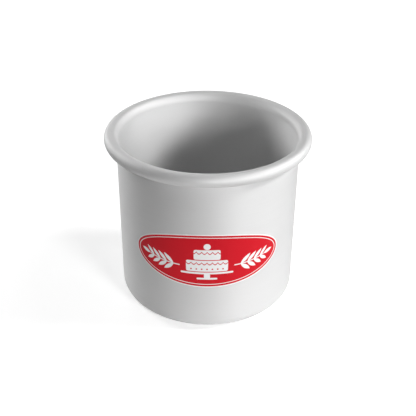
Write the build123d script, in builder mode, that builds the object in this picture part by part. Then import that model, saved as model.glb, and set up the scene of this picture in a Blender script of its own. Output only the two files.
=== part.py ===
from build123d import *

import os
from math import acos, cos, degrees, pi, radians, sin

# Round cake tin: a deep straight-sided baking tin pressed from one disc of aluminium sheet. Its
# mouth flares and is rolled outward into a hollow bead, and an oval adhesive label is wrapped round
# its front.
# Millimetres, +Z up. The origin is the centre of the underside, and the label faces -Y.

# Pressed shell
inside_diameter = 76.2
inside_depth = 76.2
sheet_thickness = 1.0
base_corner_radius = 4.0  # on the inside face

# Flare and rolled bead at the mouth
flare_radius = 5.5  # on the inside face, where the wall leans out into the bead
flare_turn = 35  # degrees that the flare leans out before the bead takes over
bead_diameter = 5.5
curl_gap = 0.2  # between the curl's trimmed edge and the wall

# Label
label_width = 66.0  # measured round the wall
label_height = 26.0
label_thickness = 0.12
label_foot_height = 22.6  # from the underside to the label's lowest point
outline_points = 24  # points that carry the label's smooth outline
stand_off = 5.0  # how far the outline's prism stands out in front of the wall

os.makedirs("parts", exist_ok=True)

# Places that both pieces use
inside_radius = inside_diameter / 2
outside_radius = inside_radius + sheet_thickness
overall_height = inside_depth + sheet_thickness

# One sheet thickness runs all the way from the centre of the base to the trimmed edge of the curl,
# so every bend of the outside face shares its centre with the inside face.
corner_centre = (inside_radius - base_corner_radius, sheet_thickness + base_corner_radius)

# The flare is tangent to the wall's inside face, and the bead's circle is tangent to the flare, so
# both centres lie on the line through the point where the bead takes over.
bead_radius = bead_diameter / 2
bead_bore_radius = bead_radius - sheet_thickness
between_centres = flare_radius - bead_radius
flare_run = flare_radius - between_centres * cos(radians(flare_turn))  # from the wall to the bead's centre
bead_centre = (inside_radius + flare_run, overall_height - bead_radius)
flare_centre = (
    inside_radius + flare_radius,
    bead_centre[1] - between_centres * sin(radians(flare_turn)),
)
bead_start = 180 - flare_turn  # the direction from the bead's centre to where it takes over

# The curl goes up, over, down and back under the bead. It ends where its outer corner is curl_gap
# from the wall, which is short of the innermost direction by acos of the share below.
reach_share = (flare_run - sheet_thickness - curl_gap) / bead_radius
curl_sweep = bead_start + 180 - degrees(acos(reach_share))

with BuildPart() as tin:
    with BuildSketch(Plane.XZ) as sheet_section:
        with BuildLine():
            # Inside face: floor, corner, wall, flare, then over the mouth and round the bead
            floor = Line((0, sheet_thickness), (corner_centre[0], sheet_thickness))
            inside_corner = CenterArc(corner_centre, base_corner_radius, -90, 90)
            inside_flare = CenterArc(flare_centre, flare_radius, 180, -flare_turn)
            Line(inside_corner @ 1, inside_flare @ 0)
            bead_skin = CenterArc(bead_centre, bead_radius, bead_start, -curl_sweep)
            # Outside face: the bead's bore, the flare, the wall, the corner and the underside
            bead_bore = CenterArc(bead_centre, bead_bore_radius, bead_start, -curl_sweep)
            Line(bead_skin @ 1, bead_bore @ 1)
            outside_flare = CenterArc(flare_centre, flare_radius - sheet_thickness, 180, -flare_turn)
            outside_corner = CenterArc(corner_centre, base_corner_radius + sheet_thickness, -90, 90)
            Line(outside_flare @ 0, outside_corner @ 1)
            underside = Line(outside_corner @ 0, (0, 0))
            Line(underside @ 1, floor @ 0)
        make_face()
    revolve(axis=Axis.Z)
tin.part.label = "tin"
export_step(tin.part, "parts/tin.step")

# The label is an ellipse when it lies flat. Wrapped on the wall it keeps its width as an arc, and
# seen from the front each point stands at the sine of its arc's angle.
arc_half_angle = label_width / 2 / outside_radius
outline_turns = [2 * pi * i / outline_points for i in range(outline_points)]
front_outline = [
    (
        outside_radius * sin(arc_half_angle * cos(turn)),
        label_foot_height + label_height / 2 * (1 + sin(turn)),
    )
    for turn in outline_turns
]

with BuildPart() as outline_prism:
    with BuildSketch(Plane.XZ):
        with BuildLine():
            Spline(*front_outline, periodic=True)
        make_face()
    extrude(amount=outside_radius + stand_off)

# The prism marks out the label's back on the wall's outside face, and the film is built out from it.
wall_faces = tin.faces().filter_by(GeomType.CYLINDER)
outside_wall_face = wall_faces.sort_by(SortBy.RADIUS)[-1]
label_back = (outside_wall_face & outline_prism.part).face()

with BuildPart() as label:
    thicken(label_back, label_thickness)
label.part.label = "label"
export_step(label.part, "parts/label.step")
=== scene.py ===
from math import acos, cos, pi, radians, sin, tan, tau

import bpy
from mathutils import Matrix, Vector


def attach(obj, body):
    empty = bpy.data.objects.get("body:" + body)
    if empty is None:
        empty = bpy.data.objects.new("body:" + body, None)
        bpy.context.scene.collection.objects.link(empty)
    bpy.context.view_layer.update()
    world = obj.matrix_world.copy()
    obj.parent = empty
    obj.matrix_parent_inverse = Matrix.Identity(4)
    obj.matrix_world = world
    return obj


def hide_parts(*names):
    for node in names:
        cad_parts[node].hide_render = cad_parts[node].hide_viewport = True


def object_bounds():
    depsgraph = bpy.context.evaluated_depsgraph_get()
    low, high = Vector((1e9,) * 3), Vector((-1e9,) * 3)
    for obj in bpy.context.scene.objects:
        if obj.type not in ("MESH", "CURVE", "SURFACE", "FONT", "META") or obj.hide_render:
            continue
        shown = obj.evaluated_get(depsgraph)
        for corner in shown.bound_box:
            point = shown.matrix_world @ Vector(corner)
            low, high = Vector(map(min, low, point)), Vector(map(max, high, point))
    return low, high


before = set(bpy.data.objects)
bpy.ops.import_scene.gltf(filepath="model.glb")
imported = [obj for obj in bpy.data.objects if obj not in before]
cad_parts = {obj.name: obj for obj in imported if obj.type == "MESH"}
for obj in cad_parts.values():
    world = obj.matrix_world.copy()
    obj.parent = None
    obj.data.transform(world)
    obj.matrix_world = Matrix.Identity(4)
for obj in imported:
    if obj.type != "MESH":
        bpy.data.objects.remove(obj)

cad_low, cad_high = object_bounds()

# Camera. It looks down into the mouth from in front of the label. Its place, tilt and lens come
# from the tin's edges in the photograph, whose optical centre is a little off the picture's middle.
photo_width_px = 416
focal_length_px = 764.9
optical_centre_px = (207.49, 206.36)
sensor_width_mm = 36
camera_elevation = radians(30.74)
camera_distance = 0.3443
camera_roll = radians(0.44)

aim_point = Vector((0, 0, cad_high.z / 2))
towards_camera = Vector((0, -cos(camera_elevation), sin(camera_elevation)))
bpy.ops.object.camera_add()
camera = bpy.context.object
camera.matrix_world = (
    Matrix.Translation(aim_point + camera_distance * towards_camera)
    @ Matrix.Rotation(pi / 2 - camera_elevation, 4, "X")
    @ Matrix.Rotation(camera_roll, 4, "Z")
)
camera.data.sensor_width = sensor_width_mm
camera.data.lens = sensor_width_mm * focal_length_px / photo_width_px
camera.data.shift_x = (photo_width_px / 2 - optical_centre_px[0]) / photo_width_px
camera.data.shift_y = (optical_centre_px[1] - photo_width_px / 2) / photo_width_px
bpy.context.scene.camera = camera

# Tin. A real one is pressed from one disc of aluminium, its mouth flares and is rolled outward into
# a hollow bead, and the whole is anodised. The inside face is drawn as a half section and spun about
# the axis, then the sheet's thickness goes on behind it, so the curl stays open underneath.
inside_radius = 0.0381
overall_height = cad_high.z
sheet_thickness = 0.001
base_corner_radius = 0.004
flare_radius = 0.0055
flare_turn = radians(35)
bead_radius = 0.00275
curl_gap = 0.0002
trimmed_edge_break = 0.00012
broken_edge = {"segments": 2, "limit_method": "ANGLE", "angle_limit": radians(60)}
smooth_up_to = radians(40)
corner_steps = 10
flare_steps = 8
bead_steps = 48
steps_round = 256
starter_size = 0.001
weld_distance = 1e-6

outside_radius = inside_radius + sheet_thickness
corner_centre = (inside_radius - base_corner_radius, sheet_thickness + base_corner_radius)
between_centres = flare_radius - bead_radius
flare_run = flare_radius - between_centres * cos(flare_turn)
bead_centre = (inside_radius + flare_run, overall_height - bead_radius)
flare_centre = (inside_radius + flare_radius, bead_centre[1] - between_centres * sin(flare_turn))
curl_sweep = tau - flare_turn - acos((flare_run - sheet_thickness - curl_gap) / bead_radius)


def start_section(name, height):
    """Starts a piece's half section: a plane closed up to one point on the axis, in edit mode."""
    bpy.ops.object.select_all(action="DESELECT")
    bpy.ops.mesh.primitive_plane_add(size=starter_size, location=(0, 0, height))
    piece = bpy.context.object
    piece.name = name
    bpy.ops.object.transform_apply(location=True, rotation=True, scale=True)
    bpy.ops.object.mode_set(mode="EDIT")
    bpy.ops.mesh.select_all(action="SELECT")
    bpy.ops.mesh.merge(type="CENTER")
    return piece


def draw_line(outward, upward):
    """Draws the section on in a straight line."""
    bpy.ops.mesh.extrude_region_move(TRANSFORM_OT_translate={"value": (outward, 0, upward)})


def draw_arc(centre, turn, steps):
    """Draws the section on round a centre, given by its distance from the axis and its height."""
    bpy.ops.mesh.spin(steps=steps, angle=turn, center=(centre[0], 0, centre[1]), axis=(0, 1, 0))


def spin_section(steps, join_within):
    """Spins the section about the axis, joins its start to its end, and leaves edit mode."""
    bpy.ops.mesh.select_all(action="SELECT")
    bpy.ops.mesh.spin(steps=steps, angle=tau, center=(0, 0, 0), axis=(0, 0, 1))
    bpy.ops.mesh.select_all(action="SELECT")
    bpy.ops.mesh.remove_doubles(threshold=join_within)
    bpy.ops.mesh.normals_make_consistent(inside=False)
    bpy.ops.object.mode_set(mode="OBJECT")


def shape_by(piece, name, kind, **settings):
    """Adds a modifier to the piece, sets it up and applies it."""
    modifier = piece.modifiers.new(name, kind)
    for setting, value in settings.items():
        setattr(modifier, setting, value)
    bpy.ops.object.modifier_apply(modifier=modifier.name)


tin = start_section("spun_tin", sheet_thickness)
draw_line(corner_centre[0], 0)
draw_arc(corner_centre, pi / 2, corner_steps)
draw_line(0, flare_centre[1] - corner_centre[1])
draw_arc(flare_centre, -flare_turn, flare_steps)
draw_arc(bead_centre, -curl_sweep, bead_steps)
spin_section(steps_round, weld_distance)
shape_by(tin, "sheet", "SOLIDIFY", thickness=sheet_thickness, offset=-1, use_even_offset=True)
shape_by(tin, "edge_break", "BEVEL", width=trimmed_edge_break, **broken_edge)
bpy.ops.object.shade_smooth_by_angle(angle=smooth_up_to)


class Shade:
    """One value among a material's nodes, so that shader maths reads as plain expressions."""

    def __init__(self, tree, socket=None):
        self.tree = tree
        self.socket = socket

    def node(self, kind, settings, sockets, *outputs):
        """Adds a node to this material and gives the outputs asked for, or else its first."""
        made = self.tree.nodes.new(kind)
        for name, value in settings.items():
            setattr(made, name, value)
        for name, value in sockets.items():
            if isinstance(value, Shade):
                self.tree.links.new(value.socket, made.inputs[name])
            else:
                made.inputs[name].default_value = value
        found = [Shade(self.tree, made.outputs[name]) for name in outputs or (0,)]
        return found if len(found) > 1 else found[0]

    def maths(self, operation, *values, clamp=False):
        settings = {"operation": operation, "use_clamp": clamp}
        return self.node("ShaderNodeMath", settings, dict(enumerate(values)))

    def noise(self, per_metre, detail):
        """Cloudy noise from 0 to 1, worked out from this place."""
        sockets = {"Vector": self, "Scale": per_metre, "Detail": detail}
        return self.node("ShaderNodeTexNoise", {}, sockets)

    def between(self, colour_at_0, colour_at_1):
        """The colour that this share, from 0 to 1, mixes from two others."""
        sockets = {0: self, 6: colour_at_0, 7: colour_at_1}
        return self.node("ShaderNodeMix", {"data_type": "RGBA"}, sockets, 2)

    def rising(self, low, high):
        """0 up to low, 1 from high on, and a straight ramp in between."""
        return self.maths("MULTIPLY_ADD", self, 1 / (high - low), -low / (high - low), clamp=True)

    def at_least(self, other):
        return self.maths("MAXIMUM", self, other)

    def at_most(self, other):
        return self.maths("MINIMUM", self, other)

    def rounded_down(self):
        return self.maths("FLOOR", self)

    def feed(self, shader, name):
        self.tree.links.new(self.socket, shader.inputs[name])

    def raise_surface(self, shader):
        """Gives the shader's surface a relief of this height in metres."""
        relief = {"Height": self, "Distance": 1}
        self.node("ShaderNodeBump", {}, relief, "Normal").feed(shader, "Normal")

    def __add__(self, other):
        return self.maths("ADD", self, other)

    def __sub__(self, other):
        return self.maths("SUBTRACT", self, other)

    def __rsub__(self, other):
        return self.maths("SUBTRACT", other, self)

    def __mul__(self, other):
        return self.maths("MULTIPLY", self, other)

    def __truediv__(self, other):
        return self.maths("DIVIDE", self, other)

    def __pow__(self, other):
        return self.maths("POWER", self, other)

    def __abs__(self):
        return self.maths("ABSOLUTE", self)

    __radd__ = __add__
    __rmul__ = __mul__


def new_material(name, constants):
    """A new material, its shader with constants set, and the place on the piece that it shades."""
    material = bpy.data.materials.new(name)
    material.use_nodes = True
    shader = material.node_tree.nodes["Principled BSDF"]
    for socket, value in constants.items():
        shader.inputs[socket].default_value = value
    place = Shade(material.node_tree).node("ShaderNodeTexCoord", {}, {}, "Object")
    return material, shader, place


# The anodised skin is milky over the metal, so it scatters light as well as mirroring it. Turning on
# the lathe leaves fine rings, the etch leaves a grain, and handling has rubbed the bead and the foot.
metal_share = 0.7
satin_roughness = 0.75
ring_streak = 0.45
across_the_rings = 0.25
duller_metal = (0.69, 0.69, 0.69, 1)
brighter_metal = (0.76, 0.76, 0.76, 1)
noise_middle = 0.5
noise_spread = (0.35, 0.65)
rings_per_metre = 2600
ring_change_round = 1.5
grain_per_metre = 7000
clouds_per_metre = 45
rub_from_wall = 0.0025
rub_up_foot = (0.0003, 0.0015)
rub_in_clouds = (0.45, 0.6)
ring_shade = 0.45
cloud_shade = 0.3
grain_shade = 0.25
rub_shade = 0.25
ring_roughness = 0.1
cloud_roughness = 0.08
rub_smoothness = 0.1
ring_depth = 0.000005
grain_depth = 0.000003

satin_metal, metal_surface, place = new_material(
    "satin_anodised_aluminium",
    {
        "Metallic": metal_share,
        "Anisotropic": ring_streak,
        "Anisotropic Rotation": across_the_rings,
    },
)
x, y, z = place.node("ShaderNodeSeparateXYZ", {}, {0: place}, "X", "Y", "Z")
from_axis = (x * x + y * y) ** 0.5

# The rings' noise changes fast with height and with distance from the axis, and slowly round it.
ring_place = place.node(
    "ShaderNodeCombineXYZ",
    {},
    {
        "X": x / from_axis * ring_change_round,
        "Y": y / from_axis * ring_change_round,
        "Z": from_axis * rings_per_metre,
    },
)
rings = place.node(
    "ShaderNodeTexNoise",
    {"noise_dimensions": "4D"},
    {"Vector": ring_place, "W": z * rings_per_metre, "Scale": 1, "Detail": 2},
).rising(*noise_spread)
grain = place.noise(grain_per_metre, 2).rising(*noise_spread)
clouds = place.noise(clouds_per_metre, 3)
on_bead = from_axis.rising(outside_radius + rub_from_wall, bead_centre[0] + bead_radius)
on_foot = 1 - z.rising(*rub_up_foot)
rubbed = on_bead.at_least(on_foot) * clouds.rising(*rub_in_clouds)
shade = clouds * cloud_shade + rings * ring_shade + grain * grain_shade + rubbed * rub_shade
shade.between(duller_metal, brighter_metal).feed(metal_surface, "Base Color")
roughness = satin_roughness + (clouds - noise_middle) * cloud_roughness
roughness = roughness + (rings - noise_middle) * ring_roughness - rubbed * rub_smoothness
roughness.feed(metal_surface, "Roughness")
(rings * ring_depth + grain * grain_depth).raise_surface(metal_surface)
tin.data.materials.append(satin_metal)

# The roller that turned the mouth outward burnished it, so the rings leave no streak on the flare
# and the bead. They are all that stands out beyond the wall or above its top.
rolled_metal = satin_metal.copy()
rolled_metal.name = "rolled_rim_aluminium"
rolled_metal.node_tree.nodes["Principled BSDF"].inputs["Anisotropic"].default_value = 0
tin.data.materials.append(rolled_metal)
for face in tin.data.polygons:
    beyond_wall = Vector(face.center[:2]).length > outside_radius + curl_gap / 2
    face.material_index = int(beyond_wall or face.center[2] > flare_centre[1])
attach(tin, "root")
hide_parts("tin")

# Label. It is one oval of printed plastic film with a gum back, stuck round the front of the wall.
# It is cut flat, as a real one is, and bent on to the wall's outside face afterwards.
label_width = 0.066
label_height = 0.026
label_thickness = 0.00012
label_foot_height = 0.0226
label_edge_points = 256
label_columns = 64
label_edge_break = 0.00003

label_centre_height = label_foot_height + label_height / 2
bpy.ops.object.select_all(action="DESELECT")
bpy.ops.mesh.primitive_circle_add(
    vertices=label_edge_points, radius=label_width / 2, rotation=(pi / 2, 0, 0)
)
label = bpy.context.object
label.name = "wrapped_label"
bpy.ops.object.transform_apply(location=True, rotation=True, scale=True)
bpy.ops.object.mode_set(mode="EDIT")
bpy.ops.mesh.select_all(action="SELECT")
bpy.ops.mesh.fill_grid(span=label_columns)
bpy.ops.transform.resize(value=(1, 1, label_height / label_width), center_override=(0, 0, 0))
bpy.ops.mesh.normals_make_consistent(inside=False)
bpy.ops.object.mode_set(mode="OBJECT")
wrap = {"deform_method": "BEND", "deform_axis": "Z", "angle": label_width / outside_radius}
shape_by(label, "film", "SOLIDIFY", thickness=label_thickness, offset=1)
shape_by(label, "cut", "BEVEL", width=label_edge_break, **broken_edge)
shape_by(label, "wrap", "SIMPLE_DEFORM", **wrap)
label.location = (0, -outside_radius, label_centre_height)
bpy.ops.object.transform_apply(location=True, rotation=True, scale=True)
bpy.ops.object.shade_smooth_by_angle(angle=smooth_up_to)

# The print is drawn in millimetres on the label's own face: u runs round the wall and v runs up.
# Each shape is a distance from its edge, above 0 inside the shape.
print_softness = 0.05
printed_red = (0.6, 0.005, 0.015, 1)
printed_white = (0.88, 0.88, 0.88, 1)
film_gloss = 0.18
film_roughness = 0.46
white_roughness = 0.04
ink_clouds_per_metre = 900
ink_cloud_roughness = 0.1
ink_depth = 0.000004
mm_per_metre = 1000

printed_film, film_surface, place = new_material(
    "printed_film", {"Specular IOR Level": film_gloss}
)
x, y, z = place.node("ShaderNodeSeparateXYZ", {}, {0: place}, "X", "Y", "Z")
u = x.maths("ARCTAN2", x, 0 - y) * (outside_radius * mm_per_metre)
v = (z - label_centre_height) * mm_per_metre


def inked(shape):
    """1 inside the shape, 0 outside it, and a soft edge in between."""
    return shape.rising(-print_softness, print_softness)


def disc(u, v, radius):
    """A round spot, centred where u and v are 0."""
    return radius - (u * u + v * v) ** 0.5


def bar(u, v, half_width, half_height, corner):
    """A bar with round corners, centred where u and v are 0."""
    beside = (abs(u) - (half_width - corner)).at_least(0)
    above = (abs(v) - (half_height - corner)).at_least(0)
    return disc(beside, above, corner)


def leaf(along, across, length, half_width):
    """A leaf pointed at both ends, which starts where along is 0."""
    from_middle = along * (2 / length) - 1
    return half_width - from_middle * from_middle * half_width - abs(across)


# Oval field: a white cut edge, red inside it, and a fine white line that follows the edge. The
# value oval is 1 at the edge, and what it lacks of 1, over its rate of change, is the way in from it.
white_edge = 0.5
keyline = (1.5, 1.85)
least_slope = 0.001
half_width_mm = label_width / 2 * mm_per_metre
half_height_mm = label_height / 2 * mm_per_metre
oval_u = u / half_width_mm
oval_v = v / half_height_mm
oval = oval_u * oval_u + oval_v * oval_v
slope_u = oval_u / half_width_mm
slope_v = oval_v / half_height_mm
slope = (slope_u * slope_u + slope_v * slope_v) ** 0.5
inset = (1 - oval) / (slope * 2).at_least(least_slope)
field = inset - white_edge
keyline_shape = (inset - keyline[0]).at_most(keyline[1] - inset)

# Cake: two iced tiers with a berry on top, on a stand with a foot. Each part but the berry gives the
# height of its middle, half its width, half its height and its corner.
cake_height = 1.1
berry_height = 6.1
berry_radius = 1.45
upper_tier = (2.1, 5.5, 2.4, 0.8)
lower_tier = (-3.4, 8.7, 2.7, 0.8)
plate = (-6.95, 11, 0.45, 0.45)
stem = (-8.3, 1.25, 1.1, 0.1)
stand_foot = (-9.65, 4.3, 0.45, 0.45)
cake_v = v - cake_height
cake = disc(u, cake_v - berry_height, berry_radius)
for middle, half_width, half_height, corner in (upper_tier, lower_tier, plate, stem, stand_foot):
    cake = cake.at_least(bar(u, cake_v - middle, half_width, half_height, corner))

# Icing: a line hangs in drops from the top of each tier, and a row of beads crosses the lower one.
upper_icing_height = 3.5
lower_icing_height = -1.7
icing_half_width = 0.24
drop_width = 2.2
drop_depth = 0.95
bead_row_height = -4.9
bead_row_end = 7.7
icing_bead_radius = 0.36
drop_turn = u * (pi / drop_width)
drops = abs(drop_turn.maths("SINE", drop_turn)) * drop_depth
upper_icing = icing_half_width - abs(cake_v - upper_icing_height + drops)
lower_icing = icing_half_width - abs(cake_v - lower_icing_height + drops)
in_drops = u / drop_width
bead_u = (in_drops - (in_drops + 0.5).rounded_down()) * drop_width
icing_beads = disc(bead_u, cake_v - bead_row_height, icing_bead_radius)
icing_beads = icing_beads.at_most(bead_row_end - abs(u))
icing = upper_icing.at_least(lower_icing).at_least(icing_beads)

# Wheat: one ear to each side, mirrored, with its grains in pairs along a slightly bent stalk. The
# grains lean out from the stalk, get smaller towards the ear's end, and one more ends it.
ear_start = 12.6
grain_step = 3.0
grain_pairs = 4
grain_length = 5.8
grain_half_width = 0.85
grain_turn = radians(42)
grain_shrink = 0.24
tip_gap = 0.6
tip_length = grain_length * 0.75
stalk_before_ear = 1.2
stalk_half_width = 0.24
stalk_corner = 0.12
stalk_height = -2.6
bend_start = 11
bend_per_mm = 0.009
out = abs(u)
off_stalk = v - stalk_height - (out - bend_start) * (out - bend_start) * bend_per_mm
skewed = (out - abs(off_stalk) / tan(grain_turn) - ear_start) / grain_step
pair = skewed.rounded_down()
along_ear = (skewed - pair - 0.5) * grain_step
size = 1 - pair * (grain_shrink / grain_pairs)
along_grain = (along_ear * cos(grain_turn) + abs(off_stalk) / sin(grain_turn)) / size
across_grain = along_ear * sin(grain_turn) / size
grains = leaf(along_grain, across_grain, grain_length, grain_half_width)
grains = grains.at_most(pair + 0.5).at_most(grain_pairs - 0.5 - pair)
ear_end = ear_start + grain_pairs * grain_step
tip = leaf(out - ear_end - tip_gap, off_stalk, tip_length, grain_half_width)
stalk_start = ear_start - stalk_before_ear
stalk_end = ear_end + tip_gap
stalk_middle = (stalk_start + stalk_end) / 2
stalk_half_length = (stalk_end - stalk_start) / 2
stalk = bar(out - stalk_middle, off_stalk, stalk_half_length, stalk_half_width, stalk_corner)
wheat = grains.at_least(tip).at_least(stalk)

white_ink = keyline_shape.at_least(cake.at_most(0 - icing)).at_least(wheat)
white = (1 - inked(field)).at_least(inked(white_ink))
white.between(printed_red, printed_white).feed(film_surface, "Base Color")
ink_clouds = place.noise(ink_clouds_per_metre, 3)
roughness = film_roughness + (ink_clouds - noise_middle) * ink_cloud_roughness
(roughness + white * white_roughness).feed(film_surface, "Roughness")
(ink_clouds * ink_depth).raise_surface(film_surface)
label.data.materials.append(printed_film)
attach(label, "root")
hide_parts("label")

# Cove. A floor that curves up into a low wall all round, as in a photographer's tent, palest where
# the tin stands. The camera sees it white, a little less so near the tin, where it keeps the tin's
# soft shadow.
cove_radius = 1.5
cove_height = 0.8
cove_curve = 0.6
cove_curve_steps = 16
cove_steps_round = 128
cove_weld_distance = 1e-5
cove_gap = 0.0001
paper_roughness = 0.9
colour_by_tin = (0.8, 0.8, 0.8, 1)
colour_far_off = (0.25, 0.25, 0.25, 1)
pale_reach = (0.08, 0.16)
glow_by_tin = 0.5
glow_far_off = 1
glow_to_metal = 0.1
no_glow = (0, 0, 0, 1)
full_glow = (1, 1, 1, 1)

flat_radius = cove_radius - cove_curve
cove = start_section("cove", -cove_gap)
draw_line(flat_radius, 0)
draw_arc((flat_radius, cove_curve - cove_gap), pi / 2, cove_curve_steps)
draw_line(0, cove_height - cove_curve)
spin_section(cove_steps_round, cove_weld_distance)
bpy.ops.object.shade_smooth_by_angle(angle=smooth_up_to)

cove_paper, cove_surface, place = new_material(
    "cove_paper",
    {"Roughness": paper_roughness, "Specular IOR Level": 0, "Emission Strength": 1},
)
x, y = place.node("ShaderNodeSeparateXYZ", {}, {0: place}, "X", "Y")
far_off = ((x * x + y * y) ** 0.5).rising(*pale_reach)
far_off.between(colour_by_tin, colour_far_off).feed(cove_surface, "Base Color")
camera_ray, glossy_ray, transmission_ray = place.node(
    "ShaderNodeLightPath", {}, {}, "Is Camera Ray", "Is Glossy Ray", "Is Transmission Ray"
)
glow_to_camera = glow_by_tin + far_off * (glow_far_off - glow_by_tin)
glow = camera_ray * glow_to_camera + (glossy_ray + transmission_ray) * glow_to_metal
glow.between(no_glow, full_glow).feed(cove_surface, "Emission Color")
cove.data.materials.append(cove_paper)

# Light. Soft round lamps stand round the tin: two strong ones to the right, one behind it to the
# left, and weak ones behind it, in front of it and overhead. Beyond them all is dark.
lamp_distance = 0.7
lamp_aim = Vector((0, 0, 0.03))


def soft_lamp(name, turn, rise, width, watts):
    """A round lamp aimed at the tin. Turn 0 is in front of the label and 90 to the tin's right."""
    turn = radians(turn)
    rise = radians(rise)
    outward = Vector((sin(turn) * cos(rise), -cos(turn) * cos(rise), sin(rise)))
    bpy.ops.object.light_add(type="AREA", location=lamp_aim + lamp_distance * outward)
    lamp = bpy.context.object
    lamp.name = name
    lamp.rotation_euler = outward.to_track_quat("Z", "Y").to_euler()
    lamp.data.shape = "DISK"
    lamp.data.size = width
    lamp.data.energy = watts
    lamp.visible_camera = False


soft_lamp("lamp_right_front", 34, 17, 0.19, 2.78)
soft_lamp("lamp_right", 90, 34, 0.2, 3.35)
soft_lamp("lamp_left_back", 239, 25, 0.28, 2.37)
soft_lamp("lamp_behind", 201, 22, 0.4, 0.86)
soft_lamp("lamp_front", -2, 11, 0.18, 0.53)
soft_lamp("lamp_overhead", 93, 70, 0.58, 0.31)

world = bpy.data.worlds.new("studio")
world.use_nodes = True
world.node_tree.nodes["Background"].inputs["Color"].default_value = (0, 0, 0, 1)
bpy.context.scene.world = world

bpy.context.scene.view_settings.view_transform = "Standard"
